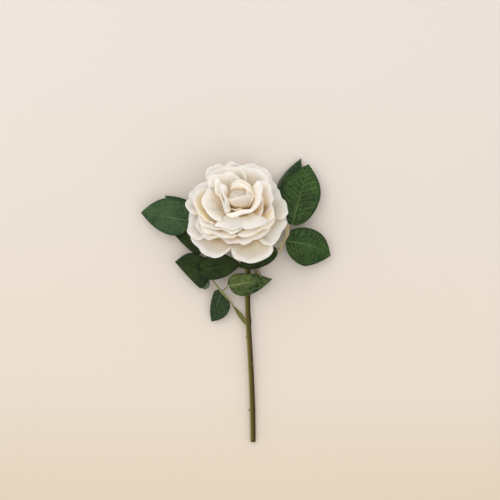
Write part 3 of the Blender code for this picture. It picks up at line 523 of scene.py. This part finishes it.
def cap_points(azimuth, size, lift, form):
    """A bud petal: it rises from the bud's side and lies over its rounded top."""
    u = np.linspace(-1.0, 1.0, PETAL_COLUMNS + 1)[None, :]
    v = np.linspace(0.0, 1.0, PETAL_ROWS + 1)[:, None]
    reach = rim_reach(u, form) * (1.0 + form["slope"] * u)
    turn = -BUD_BELOW + (form["over"] + BUD_BELOW) * v * reach
    below = np.minimum(turn, 0.0) / BUD_BELOW
    turn = np.radians(np.maximum(turn, 0.0))
    side = np.radians(form["side"] * u)
    wide, deep, top = BUD_SIZE
    taper = 1.0 + 0.25 * below
    away = size * np.cos(side) * np.cos(turn) * taper
    across = size * np.sin(side) * (1.0 - 0.10 * v) * taper
    up = size * top * np.cos(side) ** 0.7 * np.sin(turn) + BUD_STEM * below
    up = up + lift * v ** 4 + form["ruffle"] * np.sin(form["waves"] * u + form["phase"]) * v ** 3
    way = math.radians(azimuth)
    x = BUD_AT[0] + wide * (away * math.cos(way) - across * math.sin(way))
    y = BUD_AT[1] + deep * (away * math.sin(way) + across * math.cos(way))
    return np.stack([x, y, BUD_AT[2] + up], axis=-1), u + 0.0 * v, v + 0.0 * u


def petal_mesh(name, points, across, along, form, deep):
    """One petal as a fine sheet, with its distance from the rim kept for the colour."""
    steps = np.linalg.norm(np.diff(points, axis=0), axis=-1)
    from_root = np.vstack([np.zeros_like(steps[:1]), np.cumsum(steps, axis=0)])
    from_rim = from_root[-1:] - from_root
    # How far the gold reaches: partly the petal's own yellow base, partly painted shade in the gaps
    gold_and_shade = form["gold_and_shade_rate"] * (1.0 + form["gold_and_shade_side"] * across) * from_rim
    gold_and_shade = gold_and_shade + deep * np.minimum(1.0, from_rim / BUD_RIM)
    # painted_shade: how much painted shade darkens the petal inside its rim, where the petals above shadow
    # it
    facts = {"from_rim": gold_and_shade, "across": across, "along": along,
             "painted_shade": form["painted_shade"] * smooth_step(*PAINTED_SHADE_REACH, from_rim),
             "blush": form["blush"] + 0.0 * from_rim}
    return grid_mesh(name, points, facts)


def build_petals(material):
    petals = []
    for number, (kind, azimuth, radius, height, spread, changes) in enumerate(PETALS, 1):
        form = {**COMMON, **FORMS[kind], **changes}
        grid = petal_points(azimuth, (radius, height), spread, form)
        petals.append((f"petal_{number:02d}_{kind}", grid, form, 0.0))
    for number, (azimuth, size, lift, changes) in enumerate(BUD_PETALS, 1):
        form = {**CAP, **changes}
        petals.append((f"bud_petal_{number}", cap_points(azimuth, size, lift, form), form, BUD_DEPTH))
    for name, grid, form, deep in petals:
        mesh = petal_mesh(name, *grid, form, deep)
        add_piece(mesh, material, "bloom", bloom_frame(), PETAL_THICKNESS)


def lathe_mesh(name, profile, sides):
    """A turned body from a profile of radius and height, from its top to its bottom."""
    fine = smooth_run([(r, 0.0, z) for r, z in profile], 5)[1:-1]
    angle = np.linspace(0.0, 2.0 * math.pi, sides, endpoint=False)[None, :]
    r = np.maximum(fine[:, 0:1], 0.05)
    points = np.stack([r * np.cos(angle), -r * np.sin(angle), fine[:, 2:3] + 0.0 * angle], axis=-1)
    zeros = 0.0 * r * angle
    facts = {"from_rim": zeros + CORE_DEPTH, "across": zeros, "along": zeros,
             "painted_shade": zeros, "blush": zeros}
    return grid_mesh(name, points, facts, closed_round=True)


def build_core(material):
    add_piece(lathe_mesh("bloom_core", CORE, CORE_SIDES), material, "bloom", bloom_frame())


def blade_frame(route, v, roll=0.0):
    """Middle line, its run, sideways and upward directions at the shares v, and a blade's length."""
    line = smooth_run(route, 16)
    steps = np.linalg.norm(np.diff(line, axis=0), axis=1)
    reach = np.concatenate([[0.0], np.cumsum(steps)])
    runs = np.gradient(line, axis=0)
    middle = np.stack([np.interp(v * reach[-1], reach, line[:, k]) for k in range(3)], axis=-1)
    run = np.stack([np.interp(v * reach[-1], reach, runs[:, k]) for k in range(3)], axis=-1)
    run = run / np.linalg.norm(run, axis=1)[:, None]
    side = np.cross(run, (0.0, 0.0, 1.0))
    side = side / np.linalg.norm(side, axis=1)[:, None]
    up = np.cross(side, run)
    turn = math.radians(roll)
    return (middle, run, side * math.cos(turn) + up * math.sin(turn),
            up * math.cos(turn) - side * math.sin(turn), reach[-1])


def sepal_mesh(name, route, width, fold):
    """A narrow green blade: a sepal, its spur or a stipule."""
    v = np.linspace(0.0, 1.0, SEPAL_ROWS + 1)
    u = np.linspace(-1.0, 1.0, SEPAL_COLUMNS + 1)[None, :]
    middle, _, side, up, _ = blade_frame(route, v)
    half = np.maximum(0.5 * width * np.sin(math.pi * (0.18 + 0.8 * v)) ** 0.8, SEPAL_TIP)[:, None]
    across = u * half
    crinkle = SEPAL_CRINKLE * np.sin(SEPAL_CRINKLES * v)[:, None]
    height = fold * np.abs(across) + crinkle * np.abs(u)
    points = middle[:, None, :] + side[:, None, :] * across[..., None] + up[:, None, :] * height[..., None]
    return grid_mesh(name, points, {})


def build_calyx(material):
    add_piece(lathe_mesh("hip", HIP, HIP_SIDES), material, "calyx", bloom_frame())
    sepals = {}
    plain_route, width, fold = PLAIN_SEPAL
    for number, azimuth in enumerate(PLAIN_AZIMUTHS, 1):
        way = math.radians(azimuth)
        route = [(r * math.cos(way), r * math.sin(way), z) for r, z in plain_route]
        sepals[f"sepal_{number}"] = (route, width, fold)
    sepals.update(SHOWN_SEPALS)
    for name, sepal in sepals.items():
        mesh = sepal_mesh(name, *sepal)
        add_piece(mesh, material, "calyx", bloom_frame(), SEPAL_THICKNESS)


def half_width(t, half):
    """A leaflet's half width in mm at the shares t of its length: round base, pointed tip."""
    width, widest, fullness = half[:3]
    base = np.sqrt(np.clip(1.0 - (1.0 - t / widest) ** 2, 0.0, 1.0))
    tip = 1.0 - np.clip((t - widest) / (1.0 - widest), 0.0, 1.0) ** fullness
    return width * np.where(t < widest, base, tip)


def side_veins(t, side, a, width, length, style):
    """The side veins counted along the blade, whole on a vein, and the distance to the nearest one."""
    uneven = 0.10 * np.sin(17.0 * t + style["phase"]) + 0.06 * np.sin(41.0 * t + 2.0 * side)
    swept = t - 0.42 * a / width + 0.25 * (a / width) ** 2
    count = swept * style["veins"] + uneven + 0.25 * side
    return count, np.abs((count + 0.5) % 1.0 - 0.5) * length / style["veins"]


def blade_mesh(name, route, halves, roll, fold, style):
    """A leaflet: toothed edges, a sunk midrib and fine side veins with the blade puffed between."""
    u = np.linspace(-1.0, 1.0, LEAF_COLUMNS + 1)
    side_sign = np.sign(u)[None, :]
    u = (np.sign(u) * np.abs(u) ** 0.9)[None, :]
    edge = np.abs(u)
    v = np.linspace(0.0, 1.0, LEAF_ROWS + 1)
    v = 0.6 * v + 0.2 * (1.0 - np.cos(math.pi * v))
    middle, run, side, up, length = blade_frame(route, v, roll)
    v = v[:, None]
    t = np.clip(v, 0.001, 0.999)
    left, right = halves

    body = np.where(u < 0.0, half_width(t, left), half_width(t, right))
    lobe = np.where(u < 0.0, left[3], right[3]) * edge ** 1.5 * (1.0 - smooth_step(0.0, 0.5, t))
    phase = (v * style["teeth"]) % 1.0
    saw = np.where(phase < TOOTH_RISE, phase / TOOTH_RISE, (1.0 - phase) / (1.0 - TOOTH_RISE)) - 0.5
    toothed = smooth_step(TOOTHED_FROM, 1.0, edge)
    tooth = style["tooth"] * saw * toothed * np.sin(math.pi * t) ** 0.4
    forward = style["tooth"] * 0.6 * saw * toothed - lobe
    across = u * np.maximum(body + tooth, LEAST_HALF_WIDTH)

    a = np.abs(across)
    midrib = np.exp(-(a / MIDRIB_WIDTH) ** 2)
    count, distance = side_veins(t, side_sign, a, left[0] + right[0], length, style)
    vein = np.exp(-(distance / VEIN_WIDTH) ** 2) * smooth_step(0.0, 1.0, a)
    vein = vein * (1.0 - smooth_step(0.70, 0.95, edge))
    puff = np.cos(2.0 * math.pi * count) * smooth_step(0.0, PUFF_REACH, a) * (1.0 - edge ** 3)
    wave = np.sin(style["waves"] * v + style["phase"] + 0.8 * side_sign)
    height = fold * a * (1.2 - 0.6 * edge) - style["relief"] * (puff + VEIN_DEPTH * vein)
    height = height - MIDRIB_DEPTH * midrib + style["wave"] * wave * edge ** 2

    points = (middle[:, None, :] + side[:, None, :] * across[..., None]
              + up[:, None, :] * height[..., None] + run[:, None, :] * forward[..., None])
    shown_midrib = midrib * (1.0 - 0.8 * smooth_step(0.2, 0.75, t))
    facts = {"vein": np.maximum(shown_midrib, style["veining"] * vein), "across": u + 0.0 * v}
    return grid_mesh(name, points, facts)


def leaflet_mesh(name, leaflet, style):
    base, tip, bow, rise, roll, fold, *halves = leaflet
    start, end = Vector(base), Vector(tip)
    side = (end - start).cross(Vector((0.0, 0.0, 1.0))).normalized()
    middle = (start + end) / 2 + side * bow + Vector((0.0, 0.0, rise))
    return blade_mesh(name, [start, middle, end], halves, roll, fold, style)


def build_leaflets(materials, under):
    """The leaflets, and the grey lobe that turns over under the lower tip leaflet."""
    lobe = leaflet_mesh("turned_lobe", TURNED_LOBE, LOBE_STYLE)
    add_piece(lobe, under, "leaflet_lower_tip", thickness=LEAF_THICKNESS)
    for name, leaflet in LEAFLETS.items():
        mesh = leaflet_mesh("dressed_" + name, leaflet, {**LEAF_STYLE, **LEAF_CHANGES[name]})
        add_piece(mesh, materials[TONE_OF[name]], name, thickness=LEAF_THICKNESS, under=under)


def tube_mesh(name, run, radii, sides, relief=None):
    """A round tube through points in mm, closed at both ends, turning as little as it can."""
    tangents = np.gradient(run, axis=0)
    tangents = tangents / np.linalg.norm(tangents, axis=1)[:, None]
    normal = np.cross(tangents[0], (0.0, 0.0, 1.0))
    rings = []
    angle = np.linspace(0.0, 2.0 * math.pi, sides, endpoint=False)
    for k, point in enumerate(run):
        normal = normal - tangents[k] * np.dot(normal, tangents[k])
        normal = normal / np.linalg.norm(normal)
        other = np.cross(tangents[k], normal)
        swell = radii[k] * (1.0 if relief is None else relief(k, angle))
        out = np.outer(np.cos(angle) * swell, normal)
        rings.append(point + out + np.outer(np.sin(angle) * swell, other))
    side = -np.cos(angle) + np.zeros((len(run), 1))
    return grid_mesh(name, np.array(rings), {"side": side}, closed_round=True)


def stem_radius(point):
    radius = STEM_RADIUS + (NECK_RADIUS - STEM_RADIUS) * float(smooth_step(*NECK_SPAN, point[1]))
    for place, swell in STEM_NODES:
        radius += swell * math.exp(-((point[1] - place) / NODE_LENGTH) ** 2)
    return radius


def ridges(k, angle):
    """The stem's faint ridges at its ring k, as a multiple of its radius."""
    return 1.0 + 0.02 * np.sin(5.0 * angle + 0.02 * k) + 0.012 * np.sin(3.0 * angle + 0.09 * k)


def prickle_mesh(name, middle, way, length):
    """A prickle that stands out from the stem's middle line and hooks down."""
    angle = math.radians(way)
    out = np.array([math.cos(angle), 0.0, math.sin(angle)])
    share = np.linspace(0.0, 1.0, PRICKLE_RINGS)[:, None]
    reach = (STEM_RADIUS - PRICKLE_ROOT) + share * (length + PRICKLE_ROOT)
    line = middle + out * reach + np.array([0.0, -1.0, 0.0]) * PRICKLE_HOOK * share ** 2
    return tube_mesh(name, line, PRICKLE_RADIUS * (1.0 - share[:, 0]) ** 1.4 + PRICKLE_TIP, PRICKLE_SIDES)


def build_stem(material, prickle_material, pith_material):
    neck_end = bloom_frame(1.0) @ Vector((0.0, 0.0, HIP[-1][1] + NECK_INTO_HIP))
    run = smooth_run(STEM_ROUTE + [neck_end], 14)
    radii = [stem_radius(point) for point in run]
    add_piece(tube_mesh("stem_skin", run, radii, STEM_SIDES, ridges), material, "stem")
    for number, (along, way, length) in enumerate(PRICKLES, 1):
        middle = run[np.argmin(np.abs(run[:, 1] - along))]
        mesh = prickle_mesh(f"prickle_{number}", middle, way, length)
        add_piece(mesh, prickle_material, "stem")
    start = run[0] + np.array([0.0, -PITH_PROUD, 0.0])
    line = np.array([start, start + np.array(PITH_RUN)])
    mesh = tube_mesh("stem_cut_pith", line, [STEM_RADIUS * PITH_SHARE] * 2, PITH_SIDES)
    add_piece(mesh, pith_material, "stem")


def build_stalks(materials):
    for name, (main, *sides) in STALKS.items():
        run = smooth_run(main, 10)
        stout = STALK_STOUTNESS[name]
        share = np.linspace(0.0, 1.0, len(run))
        radii = STALK_RADIUS * np.interp(share, np.linspace(0.0, 1.0, len(stout)), stout)
        mesh = tube_mesh("dressed_" + name, run, radii, STALK_SIDES)
        add_piece(mesh, materials[name], name)
        for number, side in enumerate(sides, 1):
            side_run = smooth_run(side, 8)
            radii = [STALK_RADIUS * SIDE_STOUTNESS] * len(side_run)
            mesh = tube_mesh(f"{name}_side_{number}", side_run, radii, SIDE_STALK_SIDES)
            add_piece(mesh, materials[name], name)


def build_stipules(material):
    """The thin green wings at the foot of a leaf stalk."""
    for name, (stalk, route, width, fold) in STIPULES.items():
        mesh = sepal_mesh(name, route, width, fold)
        add_piece(mesh, material, stalk, thickness=SEPAL_THICKNESS)


class Nodes:
    """Short calls to lay out one material's nodes."""

    def __init__(self, name):
        self.material = bpy.data.materials.new(name)
        self.material.use_nodes = True
        self.tree = self.material.node_tree
        self.shader = self.tree.nodes["Principled BSDF"]

    def add(self, kind, **settings):
        node = self.tree.nodes.new(kind)
        for key, value in settings.items():
            setattr(node, key, value)
        return node

    def link(self, source, target):
        self.tree.links.new(source, target)

    def set(self, **values):
        for key, value in values.items():
            self.shader.inputs[key.replace("_", " ")].default_value = value

    def base(self, colour):
        self.link(colour, self.shader.inputs["Base Color"])

    def fact(self, name):
        return self.add("ShaderNodeAttribute", attribute_name=name).outputs["Fac"]

    def place(self):
        return self.add("ShaderNodeTexCoord").outputs["Object"]

    def ramp(self, source, stops):
        ramp = self.add("ShaderNodeValToRGB")
        elements = ramp.color_ramp.elements
        while len(elements) < len(stops):
            elements.new(0.5)
        for element, (place, colour) in zip(elements, stops):
            element.position = place
            element.color = (*colour, 1.0)
        self.link(source, ramp.inputs["Fac"])
        return ramp.outputs["Color"]

    def greys(self, source, *stops):
        return self.ramp(source, [(place, (grey, grey, grey)) for place, grey in stops])

    def noise(self, scale, detail=3.0, stretch=(1.0, 1.0, 1.0)):
        mapping = self.add("ShaderNodeMapping")
        mapping.inputs["Scale"].default_value = stretch
        self.link(self.place(), mapping.inputs["Vector"])
        return self.noise_at(mapping.outputs["Vector"], scale, detail)

    def noise_at(self, vector, scale, detail):
        noise = self.add("ShaderNodeTexNoise")
        noise.inputs["Scale"].default_value = scale
        noise.inputs["Detail"].default_value = detail
        self.link(vector, noise.inputs["Vector"])
        return noise.outputs["Fac"]

    def mix(self, factor, first, second, blend="MIX"):
        """Two colours mixed; a mix node has its colours in sockets 6 and 7 and its result in output 2."""
        mix = self.add("ShaderNodeMix", data_type="RGBA", blend_type=blend)
        for socket, value in ((0, factor), (6, first), (7, second)):
            if isinstance(value, float):
                mix.inputs[socket].default_value = value
            elif isinstance(value, tuple):
                mix.inputs[socket].default_value = (*value, 1.0)
            else:
                self.link(value, mix.inputs[socket])
        return mix.outputs[2]

    def multiply(self, colour, by, share=1.0):
        return self.mix(share, colour, by, "MULTIPLY")

    def math(self, operation, first, second=0.0):
        node = self.add("ShaderNodeMath", operation=operation)
        for socket, value in enumerate((first, second)):
            if isinstance(value, float):
                node.inputs[socket].default_value = value
            else:
                self.link(value, node.inputs[socket])
        return node.outputs[0]

    def bump(self, height, strength, distance=0.0004):
        bump = self.add("ShaderNodeBump")
        bump.inputs["Strength"].default_value = strength
        bump.inputs["Distance"].default_value = distance
        self.link(height, bump.inputs["Height"])
        self.link(bump.outputs["Normal"], self.shader.inputs["Normal"])


def petal_material():
    """Cream satin, painted lighter at the rim as a highlight; further in it turns gold, partly its own
    yellow base and partly painted shade, and where it is closed in it gets a gold painted shade.
    """
    n = Nodes("Petal")
    depth = n.math("DIVIDE", n.fact("from_rim"), GOLD_AND_SHADE_DEPTH)
    # The near-white at the rim is a painted highlight; the gold further in is partly the petal's own yellow
    # base and partly painted shade in the gaps
    colour = n.ramp(depth, [(0.0, (0.97, 0.965, 0.95)), (0.05, (0.965, 0.945, 0.91)),
                            (0.14, (0.955, 0.915, 0.865)), (0.32, (0.92, 0.87, 0.77)),
                            (0.55, (0.90, 0.79, 0.60)), (0.9, (0.86, 0.67, 0.38))])
    # Painted shade inside the rim, where the petals above would shadow it
    colour = n.multiply(colour, (0.70, 0.655, 0.585), n.fact("painted_shade"))
    colour = n.multiply(colour, (1.0, 0.945, 0.925), n.fact("blush"))
    cloud = n.ramp(n.noise(55.0), [(0.35, (1.0, 0.962, 0.95)), (0.5, (1.0, 0.995, 0.965)),
                                   (0.65, (1.0, 0.985, 0.92))])
    colour = n.multiply(colour, cloud)
    # Painted shade in hollows: places closed in by neighbours are darkened towards gold
    cover = n.add("ShaderNodeAmbientOcclusion", samples=8)
    cover.inputs["Distance"].default_value = HOLLOW_SHADE_REACH * MM
    hollow_shade = n.ramp(cover.outputs["AO"], [(0.08, (1.0, 0.81, 0.50)), (0.30, (1.0, 0.94, 0.78)),
                                        (0.58, (1.0, 1.0, 1.0))])
    n.base(n.multiply(colour, hollow_shade))
    lines = n.add("ShaderNodeCombineXYZ")
    n.link(n.math("MULTIPLY", n.fact("across"), PETAL_LINES[0]), lines.inputs["X"])
    n.link(n.math("MULTIPLY", n.fact("along"), PETAL_LINES[1]), lines.inputs["Y"])
    n.bump(n.noise_at(lines.outputs["Vector"], 1.0, 3.0), 0.2)
    n.set(Roughness=0.5, Subsurface_Weight=0.6, Subsurface_Radius=(1.0, 0.88, 0.75), Subsurface_Scale=0.009,
          Sheen_Weight=0.1, Specular_IOR_Level=0.35)
    return n.material


def leaf_material(name, dark, light, vein, margin=None):
    """A leaf's skin: cloudy green with pale veins, and a grey strip along its left margin if that is given.
    """
    n = Nodes(name)
    blade = n.mix(n.greys(n.noise(70.0), (0.35, 0.0), (0.68, 1.0)), dark, light)
    blade = n.mix(n.greys(n.noise(560.0, 4.0), (0.48, 0.0), (0.64, 0.30)), blade, vein)
    blade = n.mix(n.math("MULTIPLY", n.fact("vein"), 0.8), blade, vein)
    edge = n.math("ABSOLUTE", n.fact("across"))
    blade = n.multiply(blade, n.ramp(edge, [(0.80, (1.0, 1.0, 1.0)), (0.97, (0.55, 0.58, 0.55))]))
    # A grey strip painted along the left margin
    if margin:
        left = n.math("MULTIPLY", n.fact("across"), -1.0)
        blade = n.mix(n.greys(left, (0.86, 0.0), (0.89, 1.0)), blade, margin)
    n.base(blade)
    cells = n.add("ShaderNodeTexVoronoi")
    cells.inputs["Scale"].default_value = 950.0
    n.link(n.place(), cells.inputs["Vector"])
    n.bump(cells.outputs["Distance"], 0.25)
    n.set(Roughness=0.55, Specular_IOR_Level=0.14, Subsurface_Weight=0.05, Subsurface_Scale=0.001)
    return n.material


def streaks(n, least, most):
    """Streaks along a stalk from one brightness to another, with a finer grain as relief."""
    n.bump(n.noise(900.0, 3.0, (1.0, 0.2, 1.0)), 0.2)
    return n.greys(n.noise(120.0, 4.0, (1.0, 0.25, 1.0)), (0.3, least), (0.7, most))


def stalk_material(name, tone, roughness=0.5):
    """The skin of a stalk or sepal: streaks of its dark and its light colour."""
    n = Nodes(name)
    n.base(n.mix(streaks(n, 0.0, 1.0), *tone))
    n.set(Roughness=roughness, Specular_IOR_Level=0.2)
    return n.material


def stem_material():
    """The stem's skin: olive, with a painted highlight in yellow green on its left side and painted shade
    in dark brown on its right side.
    """
    n = Nodes("Stem")
    share = n.math("MULTIPLY", n.math("ADD", n.fact("side"), 1.0), 0.5)
    # Light by side: a painted highlight in yellow green on the left, olive on top, painted shade in dark
    # brown on the right
    colour = n.ramp(share, [(0.12, (0.031, 0.020, 0.003)), (0.45, (0.076, 0.055, 0.009)),
                            (0.72, (0.105, 0.085, 0.016)), (0.93, (0.27, 0.24, 0.085))])
    n.base(n.multiply(colour, streaks(n, 0.8, 1.1)))
    n.set(Roughness=0.5, Specular_IOR_Level=0.12)
    return n.material


def floor_material():
    """The pale wall and, towards the foot of the picture, the warmer floor, as one surface."""
    n = Nodes("Floor")
    split = n.add("ShaderNodeSeparateXYZ")
    n.link(n.place(), split.inputs["Vector"])
    share = n.math("ADD", split.outputs["Y"], 0.5)
    colour = n.ramp(share, [(0.30, (0.62, 0.53, 0.41)), (0.42, (0.655, 0.585, 0.51)),
                            (0.72, (0.662, 0.607, 0.565))])
    cloud = n.greys(n.noise(3.0, 2.0), (0.3, 0.985), (0.7, 1.0))
    n.base(n.multiply(colour, cloud))
    n.set(Roughness=0.75, Specular_IOR_Level=0.2)
    return n.material


def build_stage():
    bpy.ops.mesh.primitive_plane_add(size=FLOOR_SIZE)
    floor = bpy.context.object
    floor.name = "floor"
    floor.data.materials.append(floor_material())


def light_scene():
    for name, (place, size, power, colour) in LIGHTS.items():
        data = bpy.data.lights.new(name, "AREA")
        data.energy = power
        data.size = size
        data.color = colour
        light = bpy.data.objects.new(name, data)
        light.location = place
        light.rotation_euler = (Vector(LIGHTS_AIM) - Vector(place)).to_track_quat("-Z", "Y").to_euler()
        bpy.context.scene.collection.objects.link(light)
    world = bpy.data.worlds.new("Room")
    bpy.context.scene.world = world
    world.use_nodes = True
    back = world.node_tree.nodes["Background"]
    back.inputs["Color"].default_value = SKY_COLOUR
    back.inputs["Strength"].default_value = SKY_STRENGTH
    bpy.context.scene.view_settings.view_transform = "Standard"


def place_camera():
    data = bpy.data.cameras.new("camera")
    data.sensor_width = SENSOR_WIDTH
    data.lens = SENSOR_WIDTH * CAMERA_HEIGHT / VIEW_WIDTH
    data.clip_end = 20.0
    camera = bpy.data.objects.new("camera", data)
    camera.location = (VIEW_CENTRE[0] * MM, VIEW_CENTRE[1] * MM, CAMERA_HEIGHT * MM)
    bpy.context.scene.collection.objects.link(camera)
    bpy.context.scene.camera = camera


def build_rose():
    petal = petal_material()
    build_core(petal)
    build_petals(petal)
    build_calyx(stalk_material("Calyx", CALYX_TONE, 0.6))
    pith = stalk_material("Pith", PITH_TONE, 0.8)
    build_stem(stem_material(), stalk_material("Prickle", PRICKLE_TONE), pith)
    build_stalks({name: stalk_material("Stalk" + name[len("rachis"):], tone)
                  for name, tone in STALK_TONES.items()})
    build_stipules(stalk_material("Stipule", STIPULE_TONE))
    tones = {tone: leaf_material(f"Leaf_{tone}", *colours) for tone, colours in LEAF_TONES.items()}
    build_leaflets(tones, leaf_material("Leaf_underside", *UNDERSIDE_TONE))


place_camera()
build_stage()
light_scene()
build_rose()
